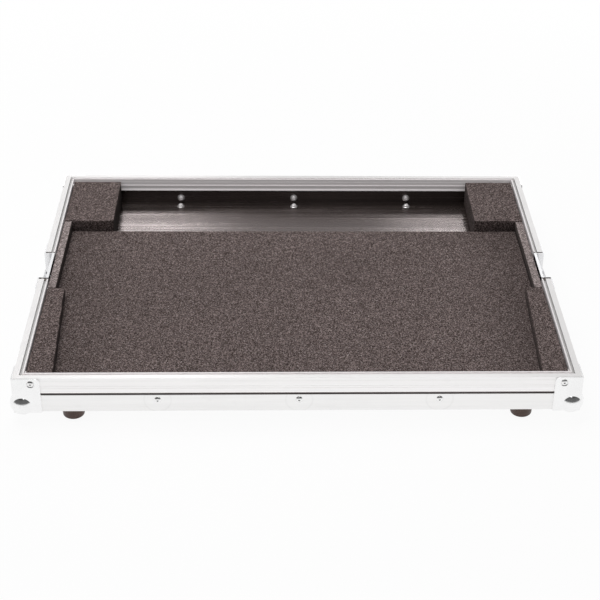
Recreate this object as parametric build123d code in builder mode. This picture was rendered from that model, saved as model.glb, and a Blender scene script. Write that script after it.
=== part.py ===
"""Base tray of a guitar pedal flight case, all sizes in millimetres.

The tray stands on four rubber feet with its open top up.  X runs along the width, Y from the
front wall to the back wall and Z up.  The origin is on the ground under the middle of the tray.
Plywood panels are held by an aluminium rim on top and aluminium angles below, ball corners wrap
the four corners, and each side wall has a recessed butterfly latch.
"""
from build123d import *
from collections import namedtuple
from math import sqrt
import os

os.makedirs("parts", exist_ok=True)

# ---------------------------------------------------------------- driving dimensions
# Case
case_width = 650.0
case_depth = 520.0
wall_height = 45.0
foot_height = 16.0

# Panels and aluminium
panel_thickness = 9.0
floor_thickness = 6.0
metal = 1.5

# Rim extrusion: ledge, groove and fin on top, a leg on each face of the panel
rim_outer_leg = 20.0
rim_inner_leg = 18.0
groove_width = 3.2
groove_depth = 3.0
fin_thickness = 1.8
flute_depth = 0.2
flute_height = 0.9
outer_flutes = (3.2, 10.2, 13.0)
inner_flutes = ((3.4, 0.4, 1.0), (8.6, 0.5, 1.4), (13.6, 0.9, 3.2))

# Bottom angle
angle_leg = 22.0
angle_base = 30.0

# Ball corner
plate_width = 30.8
plate_thickness = 1.6
plate_rounding = 5.0
plate_gap = 0.3
plate_bend = 1.2
ball_radius = 15.0
ball_inset = 8.5
ball_height = 7.8
tip_clearance = 0.2
head_recess_radius = 4.9
head_recess_depth = 0.8
corner_rivet_inset = 20.3
corner_rivet_drop = 6.9

# Rivets
shank_radius = 2.0
shank_clearance = 0.05
head_radius = 4.2
head_height = 1.8
mandrel_hole_radius = 1.2
mandrel_hole_depth = 1.2
head_crown_radius = 3.2
head_crown_height = 1.2
tail_radius = 3.2
tail_length = 3.2
tail_barrel = 1.9
tail_tip_radius = 1.9
washer_radius = 5.0
washer_thickness = 1.0
angle_rivet_spacing = 162.0
angle_rivet_height = 15.0
floor_rivet_inset = 24.0

# Feet
foot_top_radius = 13.2
foot_bottom_radius = 12.4
foot_rounding = 3.0
foot_inset_x = 64.0
foot_inset_y = 17.3
foot_bore_radius = 2.2
foot_counterbore_radius = 5.6
foot_counterbore_depth = 7.0
screw_radius = 1.95
screw_head_radius = 4.0
screw_head_height = 2.6
screw_bite = 5.0
foot_washer_radius = 5.2
foot_washer_thickness = 1.0

# Foam
foam_gap = 0.3
slab_thickness = 20.0
slab_end = 387.0
foam_drop = 3.0
rear_block_width = 67.0
strip_width = 12.0
strip_start = 208.5
front_block_width_rear = 23.0
front_block_width_front = 32.0
pocket_clearance = 0.6

# Latch dish
dish_sheet = 1.2
dish_flange_width = 115.0
dish_flange_height = 43.0
dish_flange_rounding = 8.0
pan_width = 61.0
pan_height = 36.0
pan_depth = 8.6
pan_rounding = 5.0
pan_clearance = 0.3
rim_cut_width = 70.0
dish_rivet_offset = 46.0
dish_rivet_drop = 10.0
dish_rivet_low = 13.0

# Latch mechanism, stacked from the floor of the pan outwards
hub_drop = 19.0
slide_gap = 0.2
hook_thickness = 1.5
hook_half_width = 11.0
hook_foot = 14.0
hook_reach = 14.0
hook_lip_height = 1.5
hook_lip_depth = 2.3
hook_lip_half_width = 8.0
hook_stroke = 9.0
hub_radius = 10.0
hub_thickness = 2.0
cam_pin_radius = 1.5
cam_play = 1.1
pivot_radius = 2.5
pivot_clearance = 0.05
pivot_head_radius = 4.0
pivot_head_height = 1.2
pivot_tail_height = 0.8
spring_thickness = 0.4
lug_inner = 7.0
lug_thickness = 2.0
knuckle_radius = 1.6
knuckle_gap = 0.2
wing_pin_radius = 1.1
wing_pin_clearance = 0.05
wing_pin_rise = 6.0
wing_thickness = 2.0
wing_half_width = 12.5
wing_shoulder = 2.6
wing_slope = 1.5
wing_drop = 8.5
wing_corner = 2.5
wing_waist = 5.6
wing_arch = 1.6
wing_window_gap = 0.6
bridge_thickness = 1.5
bridge_gap = 0.4
bridge_height = 1.7
bridge_foot = 2.7

# ---------------------------------------------------------------- derived places
half_width = case_width / 2
half_depth = case_depth / 2
rim_height = foot_height + wall_height
rim_width = panel_thickness + 2 * metal
ledge_width = rim_width - groove_width - fin_thickness
rim_web = groove_depth + metal
wall_inside = metal + panel_thickness
floor_top = metal + floor_thickness
slab_top = floor_top + slab_thickness
foam_top = wall_height - foam_drop
foam_side = rim_width + foam_gap
cam_offset = hook_stroke / 2
bore_radius = shank_radius + shank_clearance
ball_hollow_radius = ball_radius - plate_thickness

Run = namedtuple("Run", "start along inward length")
runs = {
    "front": Run((-half_width, -half_depth), (1, 0), (0, 1), case_width),
    "right": Run((half_width, -half_depth), (0, 1), (-1, 0), case_depth),
    "back": Run((half_width, half_depth), (-1, 0), (0, -1), case_width),
    "left": Run((-half_width, half_depth), (0, -1), (1, 0), case_depth),
}
corners = {
    "front_left": (-1, -1),
    "front_right": (1, -1),
    "back_left": (-1, 1),
    "back_right": (1, 1),
}
foot_spots = [
    (sx * (half_width - foot_inset_x), sy * (half_depth - foot_inset_y)) for sx, sy in corners.values()
]
ball_centres = {
    name: (sx * (half_width - ball_inset), sy * (half_depth - ball_inset), foot_height + ball_height)
    for name, (sx, sy) in corners.items()
}


def section_plane(side, height):
    """Plane across a wall at its start corner: x inward from the outer face, y up, z along."""
    run = runs[side]
    return Plane(origin=(*run.start, height), x_dir=(*run.inward, 0), z_dir=(*run.along, 0))


def mitre_planes(side):
    """The two upright 45 degree planes that end a wall's strips, each facing the strip."""
    run = runs[side]
    ends = []
    for travel, sign in ((0, 1), (run.length, -1)):
        origin = [run.start[i] + run.along[i] * travel for i in (0, 1)]
        normal = [sign * run.along[i] - run.inward[i] for i in (0, 1)]
        ends.append(Plane(origin=(*origin, 0), z_dir=(*normal, 0)))
    return ends


def wall_plane(side, depth=0.0):
    """Plane on a wall: x along it from its middle, y up from the underside, z outward."""
    run = runs[side]
    origin = [
        run.start[i] + run.along[i] * run.length / 2 + run.inward[i] * depth for i in (0, 1)
    ]
    outward = [-run.inward[i] for i in (0, 1)]
    return Plane(origin=(*origin, foot_height), x_dir=(*run.along, 0), z_dir=(*outward, 0))


def wall_seat(side, along, height, depth=0.0):
    """Plane on a wall with its origin at the given point and its z axis outward."""
    wall = wall_plane(side, depth)
    return Plane(origin=wall.from_local_coords((along, height, 0)), x_dir=wall.x_dir, z_dir=wall.z_dir)


def strip(low, high, left, right):
    """Rectangle between two heights and two distances, added to the open sketch."""
    with Locations(((left + right) / 2, (low + high) / 2)):
        Rectangle(right - left, high - low)


def slot_cut(low, high, left, right):
    """The same rectangle taken out of the open sketch."""
    with Locations(((left + right) / 2, (low + high) / 2)):
        Rectangle(right - left, high - low, mode=Mode.SUBTRACT)


def save(builder, name):
    """Label a finished piece and write it under its node name."""
    builder.part.label = name
    export_step(builder.part, f"parts/{name}.step")


# ---------------------------------------------------------------- rivet seats
# A spot is a wall, a distance along it from its middle, and a height above the underside
angle_spots = [
    (side, along, angle_rivet_height)
    for side in runs
    for along in (-angle_rivet_spacing, angle_rivet_spacing)
] + [(side, 0, angle_rivet_height) for side in ("front", "back")]


# A floor spot is a wall, a distance along it, and an inset from its outer face. Each is right
# under a rivet of the wall, in the other leg of the angle.
floor_spots = [(side, along, floor_rivet_inset) for side, along, height in angle_spots]


def mirrored_spots(sides, inset_or_offset, height):
    """Two spots on each wall, mirrored about its middle."""
    return [(side, sign * inset_or_offset(side), height) for side in sides for sign in (-1, 1)]


def from_end(inset):
    """Distance from a wall's middle to a point that far from its end."""
    return lambda side: runs[side].length / 2 - inset


def from_middle(offset):
    """The same distance from the middle of any wall."""
    return lambda side: offset


latch_sides = ("left", "right")
corner_spots = mirrored_spots(runs, from_end(corner_rivet_inset), wall_height - corner_rivet_drop)
dish_top_spots = mirrored_spots(latch_sides, from_middle(dish_rivet_offset), wall_height - dish_rivet_drop)
dish_low_spots = mirrored_spots(latch_sides, from_middle(dish_rivet_offset), dish_rivet_low)


def seats(spots, depth):
    """Seat planes for a list of spots, at one depth into the wall."""
    return [wall_seat(side, along, height, depth) for side, along, height in spots]


def floor_seats(spots, height):
    """Downward seat planes for a list of floor spots, at one height above the underside."""
    planes = []
    for side, along, inset in spots:
        x, y, _ = wall_seat(side, along, 0, inset).origin
        planes.append(Plane(origin=(x, y, foot_height + height), z_dir=(0, 0, -1)))
    return planes


# ---------------------------------------------------------------- tools that bore and pocket
washer_spots = angle_spots + dish_low_spots
bare_spots = corner_spots + dish_top_spots
shank_reach = plate_thickness + metal

with BuildPart() as shank_bores:
    for seat in seats(washer_spots + bare_spots, -shank_reach) + floor_seats(floor_spots, -shank_reach):
        with BuildSketch(seat):
            Circle(bore_radius)
        extrude(amount=-(shank_reach + rim_width))


def ball_tip(name, hollow_radius):
    """Tip of the case beyond the middle of a ball corner, as far as it misses the ball's hollow."""
    sx, sy = corners[name]
    with BuildPart() as tip:
        with Locations(ball_centres[name]):
            Box(
                ball_radius,
                ball_radius,
                ball_radius,
                align=(Align.MIN if sx > 0 else Align.MAX, Align.MIN if sy > 0 else Align.MAX, Align.MAX),
            )
            Sphere(hollow_radius, mode=Mode.SUBTRACT)
    return tip.part


with BuildPart() as tip_cuts:
    for name in corners:
        add(ball_tip(name, ball_hollow_radius - tip_clearance))

# Pockets in the foam for the rivet tails that stand out of the inner faces of walls and floor
with BuildPart() as tail_pockets:
    for spots, radius, depth in (
        (washer_spots, washer_radius, wall_inside + washer_thickness),
        (bare_spots, tail_radius, rim_width),
    ):
        for seat in seats(spots, wall_inside):
            with BuildSketch(seat):
                Circle(radius + pocket_clearance)
            extrude(amount=-(depth + tail_length + pocket_clearance - wall_inside))
    for seat in floor_seats(floor_spots, floor_top):
        with BuildSketch(seat):
            Circle(washer_radius + pocket_clearance)
        extrude(amount=-(washer_thickness + tail_length + pocket_clearance))

with BuildPart() as screw_bores:
    with BuildSketch(Plane.XY.offset(foot_height)):
        with Locations(*foot_spots):
            Circle(screw_radius + shank_clearance)
    extrude(amount=metal + screw_bite + foam_gap)

# ---------------------------------------------------------------- panels
panel_top = wall_height - rim_web
notch_half = pan_width / 2 + dish_sheet + pan_clearance
notch_low = wall_height - pan_height - dish_sheet - pan_clearance

with BuildPart() as floor_panel:
    with BuildSketch(Plane.XY.offset(foot_height + metal)):
        Rectangle(case_width - 2 * wall_inside, case_depth - 2 * wall_inside)
    extrude(amount=floor_thickness)
    add(shank_bores.part, mode=Mode.SUBTRACT)
    add(screw_bores.part, mode=Mode.SUBTRACT)
save(floor_panel, "floor_panel")

for side in ("front", "back"):
    with BuildPart() as panel:
        with BuildSketch(wall_plane(side, metal)):
            strip(metal, panel_top, metal - half_width, half_width - metal)
        extrude(amount=-panel_thickness)
        add(shank_bores.part, mode=Mode.SUBTRACT)
    save(panel, f"{side}_panel")

for side in latch_sides:
    with BuildPart() as panel:
        with BuildSketch(wall_plane(side, metal)):
            strip(metal, panel_top, wall_inside - half_depth, half_depth - wall_inside)
            slot_cut(notch_low, wall_height, -notch_half, notch_half)
        extrude(amount=-panel_thickness)
        add(shank_bores.part, mode=Mode.SUBTRACT)
    save(panel, f"{side}_panel")


# ---------------------------------------------------------------- rim extrusions
def rim_section():
    """Rim cross-section: ledge, groove and fin over a slot for the panel; y is 0 at the top."""
    strip(-rim_web, 0, 0, rim_width)
    slot_cut(-groove_depth, 0, ledge_width, ledge_width + groove_width)
    strip(-rim_outer_leg, 0, 0, metal)
    strip(-rim_inner_leg, 0, rim_width - metal, rim_width)
    for drop in outer_flutes:
        slot_cut(-drop - flute_height, -drop, 0, flute_depth)
    for drop, depth, height in inner_flutes:
        flute = ((rim_width, -drop), (rim_width - depth, -drop), (rim_width, -drop - height))
        Polygon(*flute, align=None, mode=Mode.SUBTRACT)


for side in ("front", "back"):
    with BuildPart() as rim:
        with BuildSketch(section_plane(side, rim_height)):
            rim_section()
        extrude(amount=runs[side].length)
        for mitre in mitre_planes(side):
            split(bisect_by=mitre)
        add(shank_bores.part, mode=Mode.SUBTRACT)
    save(rim, f"{side}_rim")

for side in latch_sides:
    for end, sign in (("front", -1), ("rear", 1)):
        with BuildPart() as rim:
            with BuildSketch(section_plane(side, rim_height)):
                rim_section()
            extrude(amount=runs[side].length)
            for mitre in mitre_planes(side):
                split(bisect_by=mitre)
            split(bisect_by=Plane(origin=(0, sign * rim_cut_width / 2, 0), z_dir=(0, sign, 0)))
            add(shank_bores.part, mode=Mode.SUBTRACT)
        save(rim, f"{side}_rim_{end}")

# ---------------------------------------------------------------- bottom angles
for side in runs:
    with BuildPart() as angle:
        with BuildSketch(section_plane(side, foot_height)):
            strip(0, angle_leg, 0, metal)
            strip(0, metal, 0, angle_base)
        extrude(amount=runs[side].length)
        for mitre in mitre_planes(side):
            split(bisect_by=mitre)
        if side in latch_sides:
            with BuildSketch(wall_plane(side)):
                strip(notch_low, angle_leg, -notch_half, notch_half)
            extrude(amount=-metal, mode=Mode.SUBTRACT)
        add(shank_bores.part, mode=Mode.SUBTRACT)
        add(screw_bores.part, mode=Mode.SUBTRACT)
        add(tip_cuts.part, mode=Mode.SUBTRACT)
    save(angle, f"{side}_angle")

# ---------------------------------------------------------------- ball corners
for name, (sx, sy) in corners.items():
    front = "front" if sy < 0 else "back"
    beside = "left" if sx < 0 else "right"
    front_sign = sx * runs[front].along[0]
    side_sign = sy * runs[beside].along[1]
    plate_walls = ((front, front_sign, half_width), (beside, side_sign, half_depth))

    with BuildPart() as case_corner:
        with BuildSketch(Plane.XY.offset(foot_height)):
            with Locations((sx * (half_width - plate_width), sy * (half_depth - plate_width))):
                Rectangle(2 * plate_width, 2 * plate_width)
        extrude(amount=wall_height)
        add(ball_tip(name, ball_hollow_radius), mode=Mode.SUBTRACT)

    with BuildPart() as corner:
        for side, sign, half in plate_walls:
            inner = sign * (half - plate_width)
            outer = sign * (half + plate_thickness)
            with BuildSketch(wall_plane(side)) as plate:
                strip(-plate_thickness, wall_height - plate_gap, min(inner, outer), max(inner, outer))
                top_inner = plate.vertices().group_by(Axis.Y)[-1].sort_by(Axis.X)[0 if sign > 0 else -1]
                fillet(top_inner, plate_rounding)
            extrude(amount=plate_thickness)
        with BuildSketch(Plane.XY.offset(foot_height)) as under_plate:
            with Locations((sx * (half_width - plate_width / 2), sy * (half_depth - plate_width / 2))):
                Rectangle(plate_width, plate_width)
            fillet(under_plate.vertices().sort_by_distance((0, 0))[0], plate_rounding)
        extrude(amount=-plate_thickness)
        outside = (sx * case_width, sy * case_depth, -case_width)
        bends = [
            corner.edges().filter_by(axis).sort_by_distance(outside)[0] for axis in (Axis.X, Axis.Y, Axis.Z)
        ]
        fillet(bends, plate_bend)
        with Locations(ball_centres[name]):
            Sphere(ball_radius)
            Sphere(ball_hollow_radius, mode=Mode.SUBTRACT)
        add(case_corner.part, mode=Mode.SUBTRACT)
        for side, sign, half in plate_walls:
            seat = wall_seat(
                side, sign * (half - corner_rivet_inset), wall_height - corner_rivet_drop, -plate_thickness
            )
            with BuildSketch(seat):
                Circle(head_recess_radius)
            extrude(amount=-head_recess_depth, mode=Mode.SUBTRACT)
        add(shank_bores.part, mode=Mode.SUBTRACT)
    save(corner, f"corner_{name}")


# ---------------------------------------------------------------- rivets and washers
wood_grip = wall_inside + washer_thickness
seat_in_plate = plate_thickness - head_recess_depth

# Each batch: node, seats of the heads, grip
rivet_batches = (
    ("angle_rivets", seats(angle_spots, 0), wood_grip),
    ("floor_rivets", floor_seats(floor_spots, 0), floor_top + washer_thickness),
    ("corner_rivets", seats(corner_spots, -seat_in_plate), seat_in_plate + rim_width),
    ("dish_top_rivets", seats(dish_top_spots, -dish_sheet), dish_sheet + rim_width),
    ("dish_low_rivets", seats(dish_low_spots, -dish_sheet), dish_sheet + wood_grip),
)

for name, head_seats, grip in rivet_batches:
    with BuildPart() as rivet:
        with BuildSketch(Plane.XZ):
            with BuildLine():
                Polyline(
                    (0, head_height - mandrel_hole_depth),
                    (mandrel_hole_radius, head_height - mandrel_hole_depth),
                    (mandrel_hole_radius, head_height),
                )
                ThreePointArc(
                    (mandrel_hole_radius, head_height),
                    (head_crown_radius, head_crown_height),
                    (head_radius, 0),
                )
                Polyline(
                    (head_radius, 0),
                    (shank_radius, 0),
                    (shank_radius, -grip),
                    (tail_radius, -grip),
                    (tail_radius, -grip - tail_barrel),
                    (tail_tip_radius, -grip - tail_length),
                    (0, -grip - tail_length),
                    (0, head_height - mandrel_hole_depth),
                )
            make_face()
        revolve(axis=Axis.Z)
    with BuildPart() as group:
        with Locations(*head_seats):
            add(rivet.part)
    save(group, name)

with BuildPart() as rivet_washers:
    for seat in seats(washer_spots, wall_inside) + floor_seats(floor_spots, floor_top):
        with BuildSketch(seat):
            Circle(washer_radius)
            Circle(bore_radius, mode=Mode.SUBTRACT)
        extrude(amount=-washer_thickness)
save(rivet_washers, "rivet_washers")

# ---------------------------------------------------------------- feet
foot_washer_low = foot_counterbore_depth - foot_washer_thickness

for name, spot in zip(corners, foot_spots):
    ground = Plane(origin=(*spot, 0), z_dir=(0, 0, 1))
    with BuildPart() as foot:
        with BuildSketch(ground):
            Circle(foot_bottom_radius)
        with BuildSketch(ground.offset(foot_height)):
            Circle(foot_top_radius)
        loft()
        fillet(foot.edges().group_by(Axis.Z)[0], foot_rounding)
        with BuildSketch(ground):
            Circle(foot_counterbore_radius)
        extrude(amount=foot_counterbore_depth, mode=Mode.SUBTRACT)
        with BuildSketch(ground):
            Circle(foot_bore_radius)
        extrude(amount=foot_height, mode=Mode.SUBTRACT)
    save(foot, f"foot_{name}")

with BuildPart() as foot_screws:
    with BuildSketch(Plane.XY.offset(foot_washer_low - screw_head_height)):
        with Locations(*foot_spots):
            Circle(screw_head_radius)
    extrude(amount=screw_head_height)
    with BuildSketch(Plane.XY.offset(foot_washer_low)):
        with Locations(*foot_spots):
            Circle(screw_radius)
    extrude(amount=foot_height + metal + screw_bite - foot_washer_low)
save(foot_screws, "foot_screws")

with BuildPart() as foot_washers:
    with BuildSketch(Plane.XY.offset(foot_washer_low)):
        with Locations(*foot_spots):
            Circle(foot_washer_radius)
            Circle(foot_bore_radius, mode=Mode.SUBTRACT)
    extrude(amount=foot_washer_thickness)
save(foot_washers, "foot_washers")

# ---------------------------------------------------------------- foam
slab_rear = slab_end - half_depth
strip_front = strip_start - half_depth
foam_half_width = half_width - foam_side
foam_half_depth = half_depth - foam_side

with BuildPart() as foam_base:
    with BuildSketch(Plane.XY.offset(foot_height + floor_top)):
        strip(-foam_half_depth, slab_rear, -foam_half_width, foam_half_width)
    extrude(amount=slab_thickness)
    add(tail_pockets.part, mode=Mode.SUBTRACT)
save(foam_base, "foam_base")

for side, sx in (("left", -1), ("right", 1)):
    with BuildPart() as block:
        with BuildSketch(Plane.XY.offset(foot_height + floor_top)):
            inner = sx * (half_width - rim_width - rear_block_width)
            outer = sx * foam_half_width
            strip(slab_rear + foam_gap, foam_half_depth, min(inner, outer), max(inner, outer))
        extrude(amount=foam_top - floor_top)
        add(tail_pockets.part, mode=Mode.SUBTRACT)
    save(block, f"foam_rear_block_{side}")

    with BuildPart() as block:
        with BuildSketch(Plane.XY.offset(foot_height + slab_top)):
            inner = sx * (half_width - rim_width - strip_width)
            strip(strip_front, slab_rear, min(inner, outer), max(inner, outer))
        extrude(amount=foam_top - slab_top)
        add(tail_pockets.part, mode=Mode.SUBTRACT)
    save(block, f"foam_strip_{side}")

    with BuildPart() as block:
        with BuildSketch(Plane.XY.offset(foot_height + slab_top)):
            Polygon(
                (outer, -foam_half_depth),
                (sx * (half_width - rim_width - front_block_width_front), -foam_half_depth),
                (sx * (half_width - rim_width - front_block_width_rear), strip_front - foam_gap),
                (outer, strip_front - foam_gap),
                align=None,
            )
        extrude(amount=foam_top - slab_top)
        add(tail_pockets.part, mode=Mode.SUBTRACT)
    save(block, f"foam_front_block_{side}")

# ---------------------------------------------------------------- latches
hub_y = wall_height - hub_drop
hook_back = -pan_depth + slide_gap
hook_front = hook_back + hook_thickness
hub_back = hook_front + slide_gap
hub_front = hub_back + hub_thickness
pivot_head_back = hub_front + spring_thickness
pin_z = hub_front + knuckle_gap + knuckle_radius
pin_y = hub_y + wing_pin_rise
wing_back = pin_z - wing_thickness / 2
lug_outer = lug_inner + lug_thickness
window_radius = pivot_head_radius + wing_window_gap
bridge_low = hub_y + hub_radius + bridge_gap

for side in latch_sides:
    wall = wall_plane(side)

    with BuildPart() as dish:
        with BuildSketch(wall) as flange:
            strip(
                wall_height - dish_flange_height, wall_height, -dish_flange_width / 2, dish_flange_width / 2
            )
            fillet(flange.vertices().group_by(Axis.Y)[0], dish_flange_rounding)
        extrude(amount=dish_sheet)
        with BuildSketch(wall) as pan:
            reach = pan_width / 2 + dish_sheet
            strip(wall_height - pan_height - dish_sheet, wall_height, -reach, reach)
            fillet(pan.vertices().group_by(Axis.Y)[0], pan_rounding + dish_sheet)
        extrude(amount=-(pan_depth + dish_sheet))
        with BuildSketch(wall.offset(dish_sheet)) as hollow:
            strip(wall_height - pan_height, wall_height, -pan_width / 2, pan_width / 2)
            fillet(hollow.vertices().group_by(Axis.Y)[0], pan_rounding)
        extrude(amount=-(pan_depth + dish_sheet), mode=Mode.SUBTRACT)
        with BuildSketch(wall.offset(-pan_depth - dish_sheet)) as folded_edge:
            strip(wall_height - dish_sheet, wall_height, -reach, reach)
        extrude(amount=-(rim_width - pan_depth - dish_sheet))
        with BuildSketch(wall):
            with Locations((0, hub_y)):
                Circle(pivot_radius)
        extrude(amount=-(pan_depth + dish_sheet), mode=Mode.SUBTRACT)
        add(shank_bores.part, mode=Mode.SUBTRACT)
    save(dish, f"{side}_latch_dish")

    with BuildPart() as pivot:
        with BuildSketch(wall.offset(-pan_depth - dish_sheet)):
            with Locations((0, hub_y)):
                Circle(pivot_head_radius)
        extrude(amount=-pivot_tail_height)
        with BuildSketch(wall.offset(-pan_depth - dish_sheet)):
            with Locations((0, hub_y)):
                Circle(pivot_radius)
        extrude(amount=pan_depth + dish_sheet + pivot_head_back)
        with BuildSketch(wall.offset(pivot_head_back)):
            with Locations((0, hub_y)):
                Circle(pivot_head_radius)
        extrude(amount=pivot_head_height)
    save(pivot, f"{side}_latch_pivot")

    with BuildPart() as spring:
        with BuildSketch(wall.offset(hub_front)):
            with Locations((0, hub_y)):
                Circle(pivot_head_radius)
                Circle(pivot_radius + pivot_clearance, mode=Mode.SUBTRACT)
        extrude(amount=spring_thickness)
    save(spring, f"{side}_latch_spring")

    with BuildPart() as hub:
        with BuildSketch(wall.offset(hub_back)):
            with Locations((0, hub_y)):
                Circle(hub_radius)
                Circle(pivot_radius + pivot_clearance, mode=Mode.SUBTRACT)
        extrude(amount=hub_thickness)
        with BuildSketch(wall.offset(hub_back)):
            with Locations((0, hub_y - cam_offset)):
                Circle(cam_pin_radius)
        extrude(amount=-(hub_back - hook_back))
        for sign in (-1, 1):
            lug_middle = sign * (lug_inner + lug_outer) / 2
            lug_side = Plane(
                origin=wall.from_local_coords((lug_middle, pin_y, pin_z)), x_dir=wall.y_dir, z_dir=wall.x_dir
            )
            with BuildSketch(lug_side):
                Circle(knuckle_radius)
                with Locations((0, -(knuckle_radius + knuckle_gap) / 2)):
                    Rectangle(2 * knuckle_radius, knuckle_radius + knuckle_gap)
                Circle(wing_pin_radius + wing_pin_clearance / 2, mode=Mode.SUBTRACT)
            extrude(amount=lug_thickness / 2, both=True)
    save(hub, f"{side}_latch_hub")

    with BuildPart() as wing_pin:
        pin_middle = Plane(
            origin=wall.from_local_coords((0, pin_y, pin_z)), x_dir=wall.y_dir, z_dir=wall.x_dir
        )
        with BuildSketch(pin_middle):
            Circle(wing_pin_radius)
        extrude(amount=lug_outer, both=True)
    save(wing_pin, f"{side}_latch_wing_pin")

    with BuildPart() as wing:
        with BuildSketch(wall.offset(wing_back)):
            with BuildLine():
                shoulder_y = hub_y + wing_shoulder
                foot_y = hub_y - wing_drop
                neck = lug_inner - knuckle_gap
                Polyline(
                    (-neck, pin_y),
                    (-neck, shoulder_y),
                    (-wing_half_width, shoulder_y - wing_slope),
                    (-wing_half_width, foot_y + wing_corner),
                    (-wing_half_width + wing_corner, foot_y),
                    (-wing_waist, foot_y),
                )
                ThreePointArc((-wing_waist, foot_y), (0, foot_y + wing_arch), (wing_waist, foot_y))
                Polyline(
                    (wing_waist, foot_y),
                    (wing_half_width - wing_corner, foot_y),
                    (wing_half_width, foot_y + wing_corner),
                    (wing_half_width, shoulder_y - wing_slope),
                    (neck, shoulder_y),
                    (neck, pin_y),
                    (-neck, pin_y),
                )
            make_face()
            with Locations((0, hub_y)):
                Circle(window_radius, mode=Mode.SUBTRACT)
        extrude(amount=wing_thickness)
        with BuildSketch(pin_middle):
            Circle(knuckle_radius)
        extrude(amount=neck, both=True)
        with BuildSketch(pin_middle):
            Circle(wing_pin_radius + wing_pin_clearance)
        extrude(amount=neck, both=True, mode=Mode.SUBTRACT)
    save(wing, f"{side}_latch_wing")

    with BuildPart() as hook:
        with BuildSketch(wall.offset(hook_back)):
            strip(hub_y - hook_foot, hub_y + hook_reach, -hook_half_width, hook_half_width)
            slot_radius = pivot_radius + slide_gap
            slot_cut(hub_y - hook_stroke, hub_y, -slot_radius, slot_radius)
            with Locations((0, hub_y), (0, hub_y - hook_stroke)):
                Circle(slot_radius, mode=Mode.SUBTRACT)
            cam_half = cam_offset + cam_pin_radius + slide_gap
            cam_rise = cam_pin_radius + cam_play
            cam_y = hub_y - cam_offset
            slot_cut(cam_y - cam_rise, cam_y + cam_rise, -cam_half, cam_half)
        extrude(amount=hook_thickness)
        with BuildSketch(wall.offset(hook_front)):
            lip_top = hub_y + hook_reach
            strip(lip_top - hook_lip_height, lip_top, -hook_lip_half_width, hook_lip_half_width)
        extrude(amount=hook_lip_depth)
    save(hook, f"{side}_latch_hook")

    with BuildPart() as bridge:
        bridge_back = hub_back
        foot_inner = hook_half_width + slide_gap
        foot_outer = foot_inner + bridge_foot
        with BuildSketch(wall.offset(bridge_back)):
            strip(bridge_low, bridge_low + bridge_height, -foot_outer, foot_outer)
        extrude(amount=bridge_thickness)
        with BuildSketch(wall.offset(-pan_depth)):
            strip(bridge_low, bridge_low + bridge_height, -foot_outer, -foot_inner)
            strip(bridge_low, bridge_low + bridge_height, foot_inner, foot_outer)
        extrude(amount=pan_depth + bridge_back)
    save(bridge, f"{side}_latch_bridge")
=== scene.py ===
import math

import bpy
import numpy as np
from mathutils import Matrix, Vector, noise


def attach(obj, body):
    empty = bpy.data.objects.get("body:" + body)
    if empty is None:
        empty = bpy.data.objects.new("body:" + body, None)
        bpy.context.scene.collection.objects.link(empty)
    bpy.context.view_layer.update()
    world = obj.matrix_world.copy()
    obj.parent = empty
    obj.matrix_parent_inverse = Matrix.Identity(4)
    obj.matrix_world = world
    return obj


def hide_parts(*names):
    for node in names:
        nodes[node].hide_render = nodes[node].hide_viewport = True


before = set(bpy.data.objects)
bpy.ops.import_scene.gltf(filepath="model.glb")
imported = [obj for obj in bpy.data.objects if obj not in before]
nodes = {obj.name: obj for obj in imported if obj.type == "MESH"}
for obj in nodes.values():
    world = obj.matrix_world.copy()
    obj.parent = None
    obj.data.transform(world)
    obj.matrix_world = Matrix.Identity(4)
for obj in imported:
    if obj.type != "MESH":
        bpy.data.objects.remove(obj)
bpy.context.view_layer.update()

# ---------------------------------------------------------------- Panels
# Five plywood boards, 9 mm for the walls and 6 mm for the floor, pressed with black laminate on
# both faces. The walls slide into the slots of the rim, and all five are riveted to the angles.


def put(tree, kind, feeds=None, **options):
    """Adds a shader node. Options are its own settings, feeds are values or sockets for its inputs."""
    node = tree.nodes.new(kind)
    for option, value in options.items():
        setattr(node, option, value)
    for name, feed in (feeds or {}).items():
        if isinstance(feed, bpy.types.NodeSocket):
            tree.links.new(feed, node.inputs[name])
        else:
            node.inputs[name].default_value = feed
    return node


def work(tree, operation, first, second=0.0):
    """A sum on one or two values or sockets."""
    return put(tree, "ShaderNodeMath", {0: first, 1: second}, operation=operation).outputs[0]


def plus(tree, first, second):
    """The first value or socket plus the second."""
    return work(tree, "ADD", first, second)


def less(tree, first, second):
    """The first value or socket less the second."""
    return work(tree, "SUBTRACT", first, second)


def times(tree, first, second):
    """The first value or socket times the second."""
    return work(tree, "MULTIPLY", first, second)


def greater(tree, first, second):
    """The greater of two values or sockets."""
    return work(tree, "MAXIMUM", first, second)


def unsigned(tree, value):
    """A value without its sign."""
    return work(tree, "ABSOLUTE", value)


def over(tree, value, limit):
    """1 where a value is over a limit."""
    return work(tree, "GREATER_THAN", value, limit)


def under(tree, value, limit):
    """1 where a value is under a limit."""
    return work(tree, "LESS_THAN", value, limit)


def fade(tree, value, start, end, low=0.0, high=1.0):
    """Maps a value that runs from start to end onto low to high, and holds it there outside."""
    feeds = {"Value": value, "From Min": start, "From Max": end, "To Min": low, "To Max": high}
    return put(tree, "ShaderNodeMapRange", feeds, interpolation_type="SMOOTHSTEP").outputs["Result"]


def split(tree, vector):
    """The X, Y and Z of a vector."""
    return put(tree, "ShaderNodeSeparateXYZ", {0: vector}).outputs


def facing(tree):
    """The X, Y and Z of the way that the surface faces."""
    return split(tree, put(tree, "ShaderNodeTexCoord").outputs["Normal"])


def mottle(tree, place, scale, detail, roughness=0.5):
    """Noise from 0 to 1."""
    feeds = {"Vector": place, "Scale": scale, "Detail": detail, "Roughness": roughness}
    return put(tree, "ShaderNodeTexNoise", feeds).outputs["Fac"]


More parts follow.
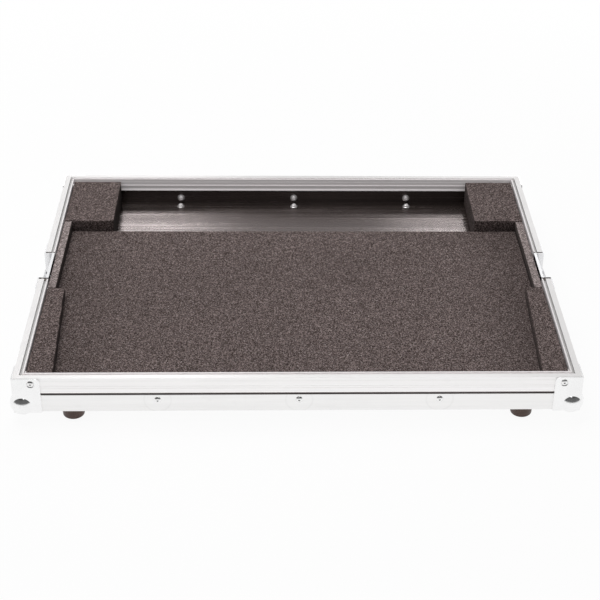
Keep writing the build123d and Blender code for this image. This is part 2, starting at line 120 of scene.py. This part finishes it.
def relief_of(tree, height, strength, distance):
    """The normal of a surface with small bumps."""
    feeds = {"Height": height, "Strength": strength, "Distance": distance}
    return put(tree, "ShaderNodeBump", feeds).outputs["Normal"]


def blend_colour(tree, amount, first, second):
    """Runs from the first colour to the second by an amount from 0 to 1. Each is RGB or a socket."""
    first, second = [(*colour, 1) if isinstance(colour, tuple) else colour for colour in (first, second)]
    return put(tree, "ShaderNodeMix", {0: amount, 6: first, 7: second}, data_type="RGBA").outputs[2]


def blend_value(tree, amount, first, second):
    """Runs from the first value to the second by an amount from 0 to 1."""
    return put(tree, "ShaderNodeMix", {0: amount, 2: first, 3: second}, data_type="FLOAT").outputs[0]


def start_group(name, inputs, outputs):
    """A node group with named inputs, each (name, type, value), and named outputs, each (name, type)."""
    group = bpy.data.node_groups.new(name, "ShaderNodeTree")
    for label, kind, value in inputs:
        socket = group.interface.new_socket(label, in_out="INPUT", socket_type="NodeSocket" + kind)
        socket.default_value = value
    for label, kind in outputs:
        group.interface.new_socket(label, in_out="OUTPUT", socket_type="NodeSocket" + kind)
    return group, group.nodes.new("NodeGroupInput").outputs, group.nodes.new("NodeGroupOutput").inputs


def start_finish(name, roughness, metallic=0.0, ior=1.5):
    """A material with its shader's plain values set, and the piece's own coordinates in metres."""
    finish = bpy.data.materials.new(name)
    finish.use_nodes = True
    tree = finish.node_tree
    shader = tree.nodes["Principled BSDF"]
    shader.inputs["Roughness"].default_value = roughness
    shader.inputs["Metallic"].default_value = metallic
    shader.inputs["IOR"].default_value = ior
    place = put(tree, "ShaderNodeTexCoord").outputs["Object"]
    return finish, tree, shader, place


def dress(finish, *names):
    """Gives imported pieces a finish."""
    for name in names:
        for slot in nodes[name].material_slots:
            slot.material = finish


# Marks of use: short fine scratches and soft smudges, told apart so a finish can use either
marks, given, made = start_group(
    "marks of use",
    [("Place", "Vector", (0, 0, 0)), ("Scratches", "Float", 0.5), ("Smudges", "Float", 0.5)],
    [("Scratch", "Float"), ("Smudge", "Float")],
)
strokes = []
for turn, spread in ((0.5, (40, 1500, 40)), (-0.9, (1300, 35, 60)), (1.3, (30, 900, 900))):
    feeds = {"Vector": given["Place"], "Rotation": (turn, 0.3, turn), "Scale": spread}
    turned = put(marks, "ShaderNodeMapping", feeds).outputs[0]
    strokes.append(fade(marks, mottle(marks, turned, 1.0, 1.0), 0.70, 0.78))
scratch = greater(marks, greater(marks, strokes[0], strokes[1]), strokes[2])
marks.links.new(times(marks, scratch, given["Scratches"]), made["Scratch"])
smudge = fade(marks, mottle(marks, given["Place"], 22.0, 4.0, 0.6), 0.42, 0.68)
marks.links.new(times(marks, smudge, given["Smudges"]), made["Smudge"])

sides = ("left", "right")
walls = ("front", "back")
sawn_edge_height = 0.03
level_limit = 0.7


def laminate_finish(name, grain_scale):
    """Black laminate with a brushed sheen that runs along the grain, and bare plywood on sawn edges."""
    finish, tree, shader, place = start_finish(name, roughness=0.25, ior=1.75)
    shader.inputs["Specular IOR Level"].default_value = 1.0
    shader.inputs["Specular Tint"].default_value = (1.0, 0.87, 0.86, 1)
    shader.inputs["Anisotropic"].default_value = 0.75
    across_grain = put(tree, "ShaderNodeCombineXYZ", {"X": 0.0, "Y": 0.15, "Z": 1.0}).outputs[0]
    tree.links.new(across_grain, shader.inputs["Tangent"])
    used = put(tree, "ShaderNodeGroup", {"Place": place, "Scratches": 0.5, "Smudges": 0.6}, node_tree=marks)
    drawn_out = put(tree, "ShaderNodeMapping", {"Vector": place, "Scale": grain_scale}).outputs[0]
    streaks = fade(tree, mottle(tree, drawn_out, 1.0, 4.0, 0.6), 0.35, 0.65)
    black = blend_colour(tree, streaks, (0.010, 0.007, 0.0055), (0.018, 0.0125, 0.010))
    scratched = times(tree, used.outputs["Scratch"], 0.25)
    scuffed = blend_colour(tree, scratched, black, (0.10, 0.09, 0.09))
    level = over(tree, unsigned(tree, facing(tree)["Z"]), level_limit)
    sawn = times(tree, over(tree, split(tree, place)["Z"], sawn_edge_height), level)
    tree.links.new(blend_colour(tree, sawn, scuffed, (0.20, 0.17, 0.145)), shader.inputs["Base Color"])
    sheen = plus(tree, 0.20, times(tree, used.outputs["Smudge"], 0.02))
    sheen = plus(tree, sheen, times(tree, streaks, 0.08))
    tree.links.new(plus(tree, sheen, times(tree, sawn, 0.4)), shader.inputs["Roughness"])
    tree.links.new(relief_of(tree, streaks, 0.3, 0.0003), shader.inputs["Normal"])
    return finish


dress(laminate_finish("black_laminate", (2.5, 150, 150)), "floor_panel", "front_panel", "back_panel")
dress(laminate_finish("black_laminate_sides", (150, 2.5, 150)), "left_panel", "right_panel")

# ---------------------------------------------------------------- Rim
# Extruded aluminium edging with a ledge, a groove and a fin for the lid to close on. It is sawn to
# 45 degrees, pushed over the panels, and left as drawn: satin, with fine grain along its length.
grain, given, made = start_group(
    "drawn metal",
    [("Place", "Vector", (0, 0, 0)), ("Stretch", "Vector", (1, 1, 1)), ("Strength", "Float", 1.0)],
    [("Grain", "Float"), ("Cloud", "Float")],
)
feeds = {0: given["Place"], 1: given["Stretch"]}
along = put(grain, "ShaderNodeVectorMath", feeds, operation="MULTIPLY").outputs[0]
coarse = times(grain, mottle(grain, along, 260.0, 3.0, 0.6), 0.55)
fine = times(grain, mottle(grain, along, 1400.0, 2.0), 0.45)
lines = fade(grain, plus(grain, coarse, fine), 0.36, 0.64)
grain.links.new(times(grain, lines, given["Strength"]), made["Grain"])
grain.links.new(fade(grain, mottle(grain, along, 34.0, 2.0), 0.35, 0.65), made["Cloud"])

along_x = (0.02, 1, 1)
along_y = (1, 0.02, 1)
white_skin = (0.96, 0.905, 0.915)
marks_and_painted_shade = (0.16, 0.15, 0.145)


def metal_finish(
    name, pale, dull, roughness, stretch=(1, 1, 1), scratches=0.4, extra=None, skin=None, relief=None
):
    """Bare metal that runs from a pale to a duller colour with its grain, clouds and scratches.

    extra, skin and relief take the tree and the place. extra gives a mask of what is darkened most, by marks
    or by painted shade, skin a mask of where the metal still has its dull white skin, and relief a height in
    metres.
    """
    finish, tree, shader, place = start_finish(name, roughness=roughness, metallic=1.0)
    feeds = {"Place": place, "Stretch": stretch, "Strength": 0.6}
    drawn = put(tree, "ShaderNodeGroup", feeds, node_tree=grain).outputs
    feeds = {"Place": place, "Scratches": scratches, "Smudges": 0.5}
    used = put(tree, "ShaderNodeGroup", feeds, node_tree=marks).outputs
    dulling = plus(tree, times(tree, drawn["Grain"], 0.5), times(tree, drawn["Cloud"], 0.4))
    dulling = plus(tree, dulling, times(tree, used["Scratch"], 0.6))
    colour = blend_colour(tree, dulling, pale, dull)
    if skin:
        covered = skin(tree, place)
        tree.links.new(less(tree, 1.0, covered), shader.inputs["Metallic"])
        colour = blend_colour(tree, times(tree, covered, 0.9), colour, white_skin)
    # extra darkens towards a dark grey: real ring marks on the angles, painted shade on the rims
    if extra:
        colour = blend_colour(tree, extra(tree, place), colour, marks_and_painted_shade)
    tree.links.new(colour, shader.inputs["Base Color"])
    rough = plus(tree, roughness - 0.04, times(tree, used["Smudge"], 0.10))
    rough = plus(tree, rough, times(tree, drawn["Grain"], 0.06))
    tree.links.new(rough, shader.inputs["Roughness"])
    normal = relief_of(tree, drawn["Grain"], 0.12, 0.0001)
    if relief:
        feeds = {"Height": relief(tree, place), "Strength": 1.0, "Distance": 1.0, "Normal": normal}
        normal = put(tree, "ShaderNodeBump", feeds).outputs["Normal"]
    tree.links.new(normal, shader.inputs["Normal"])
    return finish


# The extrusion's section, in metres from the middle of the case and from the ground, and its painted shade
inner_face = {"X": 0.3145, "Y": 0.2495}
groove = {"X": (0.3148, 0.3180), "Y": (0.2498, 0.2530)}
groove_half_width = 0.0015
groove_edge = 0.0018
# How far the painted shade in the groove reaches past its edge, ragged with noise
groove_shade_reach = 0.0026
face_blend = 0.0005
upward_limit = 0.9
# Painted shade on the inner leg, darker in one band, and left pale on the two lips as painted highlights
leg_shade = 0.35
band_shade = 0.15
groove_top = 0.0604
groove_shoulder = 0.001
leg_top = 0.0608
upper_lit_lip = (0.0508, 0.0530)
lower_lit_lip = (0.0430, 0.0459)
shaded_band = (0.0470, 0.0508)


def from_groove(tree, part, axis):
    """How far a place is from the middle of the groove, for walls that face that axis."""
    low, high = groove[axis]
    return unsigned(tree, less(tree, unsigned(tree, part[axis]), (low + high) / 2))


def inner_leg(axis, in_groove):
    """Mask of the leg inside the case and of the groove's floor, for walls that face that axis."""

    def mask(tree, place):
        part = split(tree, place)
        off = unsigned(tree, part[axis])
        leg = fade(tree, off, inner_face[axis], inner_face[axis] - face_blend, 0.12, 0.95)
        inside = fade(tree, from_groove(tree, part, axis), groove_edge, groove_half_width)
        deep = fade(tree, part["Z"], groove_top, groove_top - groove_shoulder, 0.0, in_groove)
        return greater(tree, leg, times(tree, inside, deep))

    return mask


def band(tree, value, low, high):
    """1 where a value lies between two others."""
    return times(tree, over(tree, value, low), under(tree, value, high))


def rim_painted_shade(axis, strength, overlay):
    """Mask of painted shade in the groove, on faces that face up, and down the inner leg, greyer in one
    band.

    The leg is left pale on the two lips drawn along it as painted highlights, and the mask is for walls that
    face that axis.
    """

    def mask(tree, place):
        part = split(tree, place)
        reach = plus(tree, groove_edge, times(tree, mottle(tree, place, 90.0, 3.0), groove_shade_reach))
        near = fade(tree, from_groove(tree, part, axis), reach, groove_half_width)
        # Painted shade in the groove, deepest below its shoulder
        painted_shade = fade(tree, part["Z"], groove_top, groove_top - groove_shoulder, 0.4 * strength, strength)
        # Painted shade on faces that face up, toning down their light
        upper = times(tree, over(tree, facing(tree)["Z"], upward_limit), overlay)
        inside = under(tree, unsigned(tree, part[axis]), inner_face[axis])
        # Painted highlights on the two lips, painted shade on the rest of the inner leg
        lit_lips = plus(tree, band(tree, part["Z"], *upper_lit_lip), band(tree, part["Z"], *lower_lit_lip))
        banded_shade = plus(tree, leg_shade, times(tree, band(tree, part["Z"], *shaded_band), band_shade))
        leg = times(tree, inside, times(tree, banded_shade, less(tree, 1.0, lit_lips)))
        leg = times(tree, leg, under(tree, part["Z"], leg_top))
        return greater(tree, greater(tree, times(tree, near, painted_shade), upper), leg)

    return mask


rim_pale = (0.93, 0.925, 0.92)
rim_dull = (0.86, 0.85, 0.845)
long_rims = [f"{wall}_rim" for wall in walls]
side_rims = [f"{side}_rim_{end}" for side in sides for end in ("front", "rear")]
# The side rims get painted shade in the groove and the long rims none; both get it on faces that face up and
# on the inner leg
for name, stretch, painted_shade, skin, pieces in (
    ("rim_aluminium", along_x, rim_painted_shade("Y", 0.0, 0.20), inner_leg("Y", 0.85), long_rims),
    ("rim_aluminium_sides", along_y, rim_painted_shade("X", 0.55, 0.19), inner_leg("X", 0.12), side_rims),
):
    dress(metal_finish(name, rim_pale, rim_dull, 0.40, stretch, extra=painted_shade, skin=skin), *pieces)

# ---------------------------------------------------------------- Bottom angles
# Plain 22 x 30 mm aluminium angle round the bottom edge. Each rivet was set with a hollow punch,
# which left a faint ring round it, and cases slid over floors have put fine scratches along it.
rivet_pitch = 0.162
rivet_height = 0.031
ring_radius = 0.0155
ring_line = 0.0018
ring_strength = 0.05


def punch_rings(run_axis):
    """Mask of the rings round the rivets of walls that run along that axis, for metal_finish."""

    def rings(tree, place):
        part = split(tree, place)
        if run_axis == "X":
            run = work(tree, "PINGPONG", part["X"], rivet_pitch / 2)
        else:
            run = less(tree, unsigned(tree, part["Y"]), rivet_pitch)
        rise = less(tree, part["Z"], rivet_height)
        reach = work(tree, "SQRT", plus(tree, times(tree, run, run), times(tree, rise, rise)))
        off = unsigned(tree, less(tree, reach, ring_radius))
        return fade(tree, off, 0.0, ring_line, ring_strength, 0.0)

    return rings


angle_pale = (0.93, 0.925, 0.92)
angle_dull = (0.85, 0.84, 0.835)
for pair, stretch, run_axis in ((walls, along_x, "X"), (sides, along_y, "Y")):
    name = f"angle_aluminium_{run_axis.lower()}"
    finish = metal_finish(name, angle_pale, angle_dull, 0.38, stretch, 0.7, punch_rings(run_axis))
    dress(finish, *(f"{wall}_angle" for wall in pair))

# ---------------------------------------------------------------- Ball corners
# Pressed steel corners, bright zinc plated: two side plates and a bottom plate drawn from one blank
# with a hollow ball at the tip. Each side plate is held by one rivet near its top edge.
corner_steel = metal_finish("corner_steel", (0.94, 0.94, 0.94), (0.88, 0.88, 0.88), 0.20, scratches=0.5)
dress(corner_steel, *(f"corner_{wall}_{side}" for wall in walls for side in sides))

# ---------------------------------------------------------------- Rivets, screws and washers
# Steel pop rivets with a domed head outside and a spread tail inside, over a steel washer except
# in the corners and at the dishes' tops. Zinc-plated pan screws with washers hold the feet.
wall_inner_face = {"X": 0.3144, "Y": 0.2494}
floor_rivet_row = 0.236
tail_height = 0.0236
wall_row_height = 0.0255
dome_curve = 70.0


def sheared_tails(tree, place):
    """Mask of the dull tails of the rivets, inside the case."""
    part = split(tree, place)
    within = [under(tree, unsigned(tree, part[axis]), wall_inner_face[axis]) for axis in "XY"]
    inside = times(tree, times(tree, *within), over(tree, part["Z"], tail_height))
    return times(tree, inside, 0.7)


def half_dull(tree, place):
    """Mask that leaves all of a piece partly dull."""
    return plus(tree, 0.4, 0.0)


def domes(tree, place):
    """Height of the domed washers of the front and back walls, in rows on the walls and the floor."""
    part = split(tree, place)
    run = work(tree, "PINGPONG", part["X"], rivet_pitch / 2)
    rise = less(tree, part["Z"], rivet_height)
    over_floor = less(tree, unsigned(tree, part["Y"]), floor_rivet_row)
    off = blend_value(tree, over(tree, part["Z"], wall_row_height), over_floor, rise)
    return times(tree, plus(tree, times(tree, run, run), times(tree, off, off)), -dome_curve)


rivet_steel = metal_finish(
    "rivet_steel", (0.93, 0.93, 0.93), (0.80, 0.79, 0.78), 0.26, scratches=0.3, skin=sheared_tails
)
dress(rivet_steel, "angle_rivets", "floor_rivets", "corner_rivets", "dish_top_rivets", "dish_low_rivets")
zinc_steel = metal_finish("zinc_steel", (0.74, 0.74, 0.75), (0.52, 0.52, 0.53), 0.32, scratches=0.3)
dress(zinc_steel, "foot_screws", "foot_washers")
washer_steel = metal_finish(
    "washer_steel", (0.85, 0.84, 0.83), (0.55, 0.54, 0.53), 0.22, scratches=0.6, skin=half_dull, relief=domes
)
dress(washer_steel, "rivet_washers")

# ---------------------------------------------------------------- Feet
# Four moulded rubber feet, black-brown with a dull skin. Dust lies in the fine texture of the mould
# and the soles are scuffed paler by the floor.
scuff_height = 0.003
rubber, tree, shader, place = start_finish("rubber", roughness=0.48, ior=1.52)
speck = mottle(tree, place, 900.0, 3.0)
overlay = fade(tree, mottle(tree, place, 60.0, 3.0), 0.5, 0.75, 0.0, 0.5)
dust = greater(tree, fade(tree, split(tree, place)["Z"], 0.0, scuff_height, 0.5, 0.0), overlay)
body_colour = blend_colour(tree, speck, (0.050, 0.025, 0.019), (0.122, 0.066, 0.052))
tree.links.new(blend_colour(tree, dust, body_colour, (0.17, 0.125, 0.11)), shader.inputs["Base Color"])
tree.links.new(relief_of(tree, speck, 0.3, 0.0003), shader.inputs["Normal"])
dress(rubber, *(f"foot_{wall}_{side}" for wall in walls for side in sides))

# ---------------------------------------------------------------- Foam
# Open-cell foam cut with a band knife: a 20 mm bed, two tall blocks in the rear corners and two
# tapered blocks in front. The faces waver a little where the knife went, and the edges are soft.
square = 0.002
edge_ease = 2
coarse_wave = 28.0
fine_wave = 170.0
cell_size = 0.0016

foam_cells, given, made = start_group(
    "foam cells",
    [("Place", "Vector", (0, 0, 0)), ("Size", "Float", cell_size)],
    [("Cell", "Float"), ("Fleck", "Float"), ("Height", "Float")],
)
feeds = {0: given["Place"], "Scale": work(foam_cells, "DIVIDE", 1.0, given["Size"])}
across = put(foam_cells, "ShaderNodeVectorMath", feeds, operation="SCALE").outputs[0]
feeds = {"Vector": across, "Scale": 1.0, "Randomness": 1.0}
cell_walls = put(foam_cells, "ShaderNodeTexVoronoi", feeds).outputs["Distance"]
grit = mottle(foam_cells, across, 0.9, 3.0, 0.7)
mixed = plus(foam_cells, times(foam_cells, cell_walls, 0.45), times(foam_cells, grit, 0.75))
clump = times(foam_cells, mottle(foam_cells, across, 0.22, 2.0), 0.15)
foam_cells.links.new(fade(foam_cells, plus(foam_cells, mixed, clump), 0.53, 0.94), made["Cell"])
foam_cells.links.new(fade(foam_cells, mottle(foam_cells, across, 1.25, 1.0), 0.66, 0.74), made["Fleck"])
foam_cells.links.new(mixed, made["Height"])

# Colour of the painted shade on the foam
shade_brown = (0.022, 0.015, 0.013)
edge_shade_run = (0.20, 0.29)
bed_top_run = (0.052, 0.046)


def foam_finish(name, pit, skin, glint_fleck, side_shade):
    """Open-cell foam: dark pits painted as shade in the pores, the foam's own colour on the cell walls, and
    pale flecks painted as glints off the cut walls.

    side_shade is how far the upright cut faces darken with painted shade, facing along -x, +x and y.
    """
    finish, tree, shader, place = start_finish(name, roughness=0.95, ior=1.3)
    feeds = {"Place": place, "Size": cell_size}
    cells = put(tree, "ShaderNodeGroup", feeds, node_tree=foam_cells).outputs
    # Dark pits are painted shade in the pores; pale flecks are painted glints off the cut walls
    colour = blend_colour(tree, cells["Cell"], pit, skin)
    colour = blend_colour(tree, times(tree, cells["Fleck"], 0.6), colour, glint_fleck)
    part, way = split(tree, place), facing(tree)
    to_left, to_right, to_front = side_shade
    # Painted shade on upright cut faces, by the way they face
    sideways = fade(tree, way["X"], -0.9, -0.4, to_left, to_front)
    sideways = greater(tree, sideways, fade(tree, way["X"], 0.4, 0.9, 0.0, to_right))
    upright = fade(tree, unsigned(tree, way["Z"]), 0.80, 0.50)
    worn = fade(tree, mottle(tree, place, 7.0, 3.0), 0.3, 0.7, 0.12, 0.0)
    shade = greater(tree, worn, times(tree, upright, sideways))
    # Painted shade on the bed towards the side walls, where the strips and blocks stand
    edge_shade = fade(tree, unsigned(tree, part["X"]), *edge_shade_run, 0.0, 0.24)
    shade = plus(tree, shade, times(tree, edge_shade, fade(tree, part["Z"], *bed_top_run)))
    tree.links.new(blend_colour(tree, shade, colour, shade_brown), shader.inputs["Base Color"])
    tree.links.new(relief_of(tree, cells["Height"], 0.5, 0.0005), shader.inputs["Normal"])
    return finish


def cut_foam(node, finish, waver, pitting):
    """One foam piece from its solid: re-meshed in small squares, eased at its edges, and worn inward."""
    piece = bpy.data.objects.new(f"{node}_cut", nodes[node].data.copy())
    bpy.context.scene.collection.objects.link(piece)
    squares = piece.modifiers.new("squares", "REMESH")
    squares.mode = "VOXEL"
    squares.voxel_size = square
    ease = piece.modifiers.new("soft edges", "SMOOTH")
    ease.iterations = edge_ease
    shaped = piece.evaluated_get(bpy.context.evaluated_depsgraph_get())
    mesh = bpy.data.meshes.new_from_object(shaped)
    piece.modifiers.clear()
    piece.data = mesh
    count = len(mesh.vertices)
    spots = np.zeros(count * 3)
    normals = np.zeros(count * 3)
    mesh.vertices.foreach_get("co", spots)
    mesh.vertex_normals.foreach_get("vector", normals)
    spots, normals = spots.reshape(-1, 3), normals.reshape(-1, 3)
    for index, spot in enumerate(spots):
        swing = noise.noise(Vector(spot) * coarse_wave)
        pit = noise.noise(Vector(spot) * fine_wave)
        side_on = 1.0 - 0.6 * abs(normals[index][2])
        spots[index] = spot - normals[index] * (waver * side_on * (1 + swing) / 2 + pitting * (1 + pit) / 2)
    mesh.vertices.foreach_set("co", spots.ravel())
    mesh.materials.clear()
    mesh.materials.append(finish)
    mesh.shade_smooth()
    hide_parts(node)
    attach(piece, "tray")


# The pit colour is painted shade, the fleck colour painted glints, and the last three numbers painted shade
# on cut faces
dark_foam = foam_finish(
    "foam", (0.030, 0.020, 0.018), (0.27, 0.212, 0.203), (0.85, 0.75, 0.73), (0.5, 0.88, 0.25)
)
corner_blocks = [f"foam_{end}_block_{side}" for end in ("rear", "front") for side in sides]
for node in ("foam_base", *corner_blocks):
    cut_foam(node, dark_foam, 0.0008, 0.0004)

# ---------------------------------------------------------------- Foam strips
# A strip of paler, closer foam stuck along each side wall between the blocks, behind the latch. Its
# faces waver more than those of the blocks, and are pitted less.
# The pit colour is painted shade, the fleck colour painted glints, and the last three numbers painted shade
# on cut faces
pale_foam = foam_finish(
    "foam_strip", (0.11, 0.088, 0.084), (0.56, 0.475, 0.462), (0.90, 0.80, 0.78), (0.80, 0.95, 0.6)
)
for side in sides:
    cut_foam(f"foam_strip_{side}", pale_foam, 0.0010, 0.0003)

# ---------------------------------------------------------------- Latches
# Recessed butterfly latches: a pressed dish riveted to the wall and rim, with a hub on a pivot, a
# folding wing on a pin, a sliding hook under a bridge, and a thin spring washer. All zinc plated.
latch_steel = metal_finish("latch_steel", (0.86, 0.86, 0.87), (0.76, 0.76, 0.77), 0.24)
dress(latch_steel, *(f"{side}_latch_dish" for side in sides))
latch_hardware = metal_finish("latch_hardware", (0.76, 0.76, 0.77), (0.58, 0.58, 0.59), 0.28, scratches=0.7)
hardware = ("pivot", "spring", "hub", "wing_pin", "wing", "hook", "bridge")
dress(latch_hardware, *(f"{side}_latch_{part}" for side in sides for part in hardware))

# ---------------------------------------------------------------- Stage
# A white sweep in a studio: pale floor, white surround, softboxes behind and above the tray, and
# the unlit end of the room behind the camera. Three lamps light the boards or the rims alone.
reach = 6.0
corners = [(-reach, -reach, 0), (reach, -reach, 0), (reach, reach, 0), (-reach, reach, 0)]
floor_mesh = bpy.data.meshes.new("studio_floor")
floor_mesh.from_pydata(corners, [], [(0, 1, 2, 3)])
floor = bpy.data.objects.new("studio_floor", floor_mesh)
bpy.context.scene.collection.objects.link(floor)
paper = bpy.data.materials.new("white_paper")
paper.use_nodes = True
tree = paper.node_tree
tree.nodes.remove(tree.nodes["Principled BSDF"])
rays = put(tree, "ShaderNodeLightPath").outputs
mirrored_ray = greater(tree, rays["Is Glossy Ray"], rays["Is Transmission Ray"])
seen = greater(tree, rays["Is Camera Ray"], mirrored_ray)
matt = put(tree, "ShaderNodeBsdfDiffuse", {"Color": (0.92, 0.92, 0.92, 1)})
white = put(tree, "ShaderNodeEmission", {"Color": (1, 1, 1, 1), "Strength": 1.0})
place = put(tree, "ShaderNodeTexCoord").outputs["Object"]
away = put(tree, "ShaderNodeVectorMath", {0: place}, operation="LENGTH").outputs["Value"]
share = times(tree, seen, fade(tree, away, 0.5, 1.4, 0.93, 1.0))
surface = put(tree, "ShaderNodeMixShader", {0: share, 1: matt.outputs[0], 2: white.outputs[0]})
tree.links.new(surface.outputs[0], tree.nodes["Material Output"].inputs["Surface"])
floor_mesh.materials.append(paper)

fill_light = 0.36
mirrored_room = 0.80
unlit_end = 0.68
dim_ceiling = 0.6
world = bpy.data.worlds.new("studio")
bpy.context.scene.world = world
world.use_nodes = True
tree = world.node_tree
rays = put(tree, "ShaderNodeLightPath").outputs
direction = split(tree, put(tree, "ShaderNodeTexCoord").outputs["Generated"])
room_end = times(tree, fade(tree, direction["Y"], 0.25, -0.25), fade(tree, direction["Z"], 0.0, 0.12))
ceiling = fade(tree, direction["Z"], 0.60, 0.75)
mirrored = less(tree, mirrored_room, times(tree, room_end, unlit_end))
mirrored = times(tree, mirrored, less(tree, 1.0, times(tree, ceiling, dim_ceiling)))
strength = blend_value(tree, rays["Is Glossy Ray"], fill_light, mirrored)
strength = blend_value(tree, rays["Is Camera Ray"], strength, 1.0)
backing = tree.nodes["Background"]
tree.links.new(strength, backing.inputs["Strength"])
backing.inputs["Color"].default_value = (1, 1, 1, 1)


def collect(name, pieces):
    """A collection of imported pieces, for a lamp that lights them alone."""
    collection = bpy.data.collections.new(name)
    for piece in pieces:
        collection.objects.link(nodes[piece])
    return collection


laminated = collect("laminated_boards", [f"{board}_panel" for board in ("floor", *walls, *sides)])
rims = collect("rims", long_rims + side_rims)

# Each lamp: its name, place, aim, size, radiance, and the pieces that it lights alone
lamps = (
    ("softbox_left", (-0.33, 1.36, 1.07), (-0.17, 0.18, 0.02), (0.36, 1.1), 1.0, None),
    ("softbox_right", (0.44, 1.36, 1.07), (0.22, 0.18, 0.02), (0.36, 1.1), 0.7, None),
    ("sheen_left", (-0.347, 1.11, 1.16), (-0.20, 0.20, 0.02), (0.26, 0.20), 42.0, laminated),
    ("sheen_right", (0.403, 1.22, 1.06), (0.22, 0.20, 0.02), (0.26, 0.20), 16.0, laminated),
    ("front_light", (0.0, -2.2, 0.9), (0.0, 0.0, 0.05), (2.5, 1.2), 1.7, rims),
    ("bulb", (0.15, -1.5, 2.0), (0.0, 0.0, 0.0), (0.2, 0.2), 12.0, None),
    ("softbox_above", (-0.45, 0.25, 2.0), (-0.1, 0.0, 0.0), (1.8, 1.3), 3.5, None),
)
for name, where, aim, size, radiance, only in lamps:
    lamp = bpy.data.lights.new(name, "AREA")
    lamp.shape = "RECTANGLE"
    lamp.size, lamp.size_y = size
    lamp.energy = radiance * size[0] * size[1] * math.pi
    box = bpy.data.objects.new(name, lamp)
    box.location = where
    box.rotation_euler = (Vector(aim) - Vector(where)).to_track_quat("-Z", "Y").to_euler()
    box.visible_camera = False
    if only:
        box.light_linking.receiver_collection = only
    bpy.context.scene.collection.objects.link(box)

# ---------------------------------------------------------------- Camera
# Standing in front of the tray, looking down on it at about 31 degrees through a long lens. The
# two shifts move the lens's axis off the middle of the frame.
camera_data = bpy.data.cameras.new("camera")
camera_data.lens = 89.17
camera_data.sensor_width = 36.0
camera_data.shift_x = -0.0597
camera_data.shift_y = -0.0093
camera = bpy.data.objects.new("camera", camera_data)
camera.location = (-0.0294, -1.6668, 1.0071)
camera.rotation_euler = [math.radians(turn) for turn in (59.309, -1.176, -2.095)]
bpy.context.scene.collection.objects.link(camera)
bpy.context.scene.camera = camera
bpy.context.scene.view_settings.view_transform = "Standard"
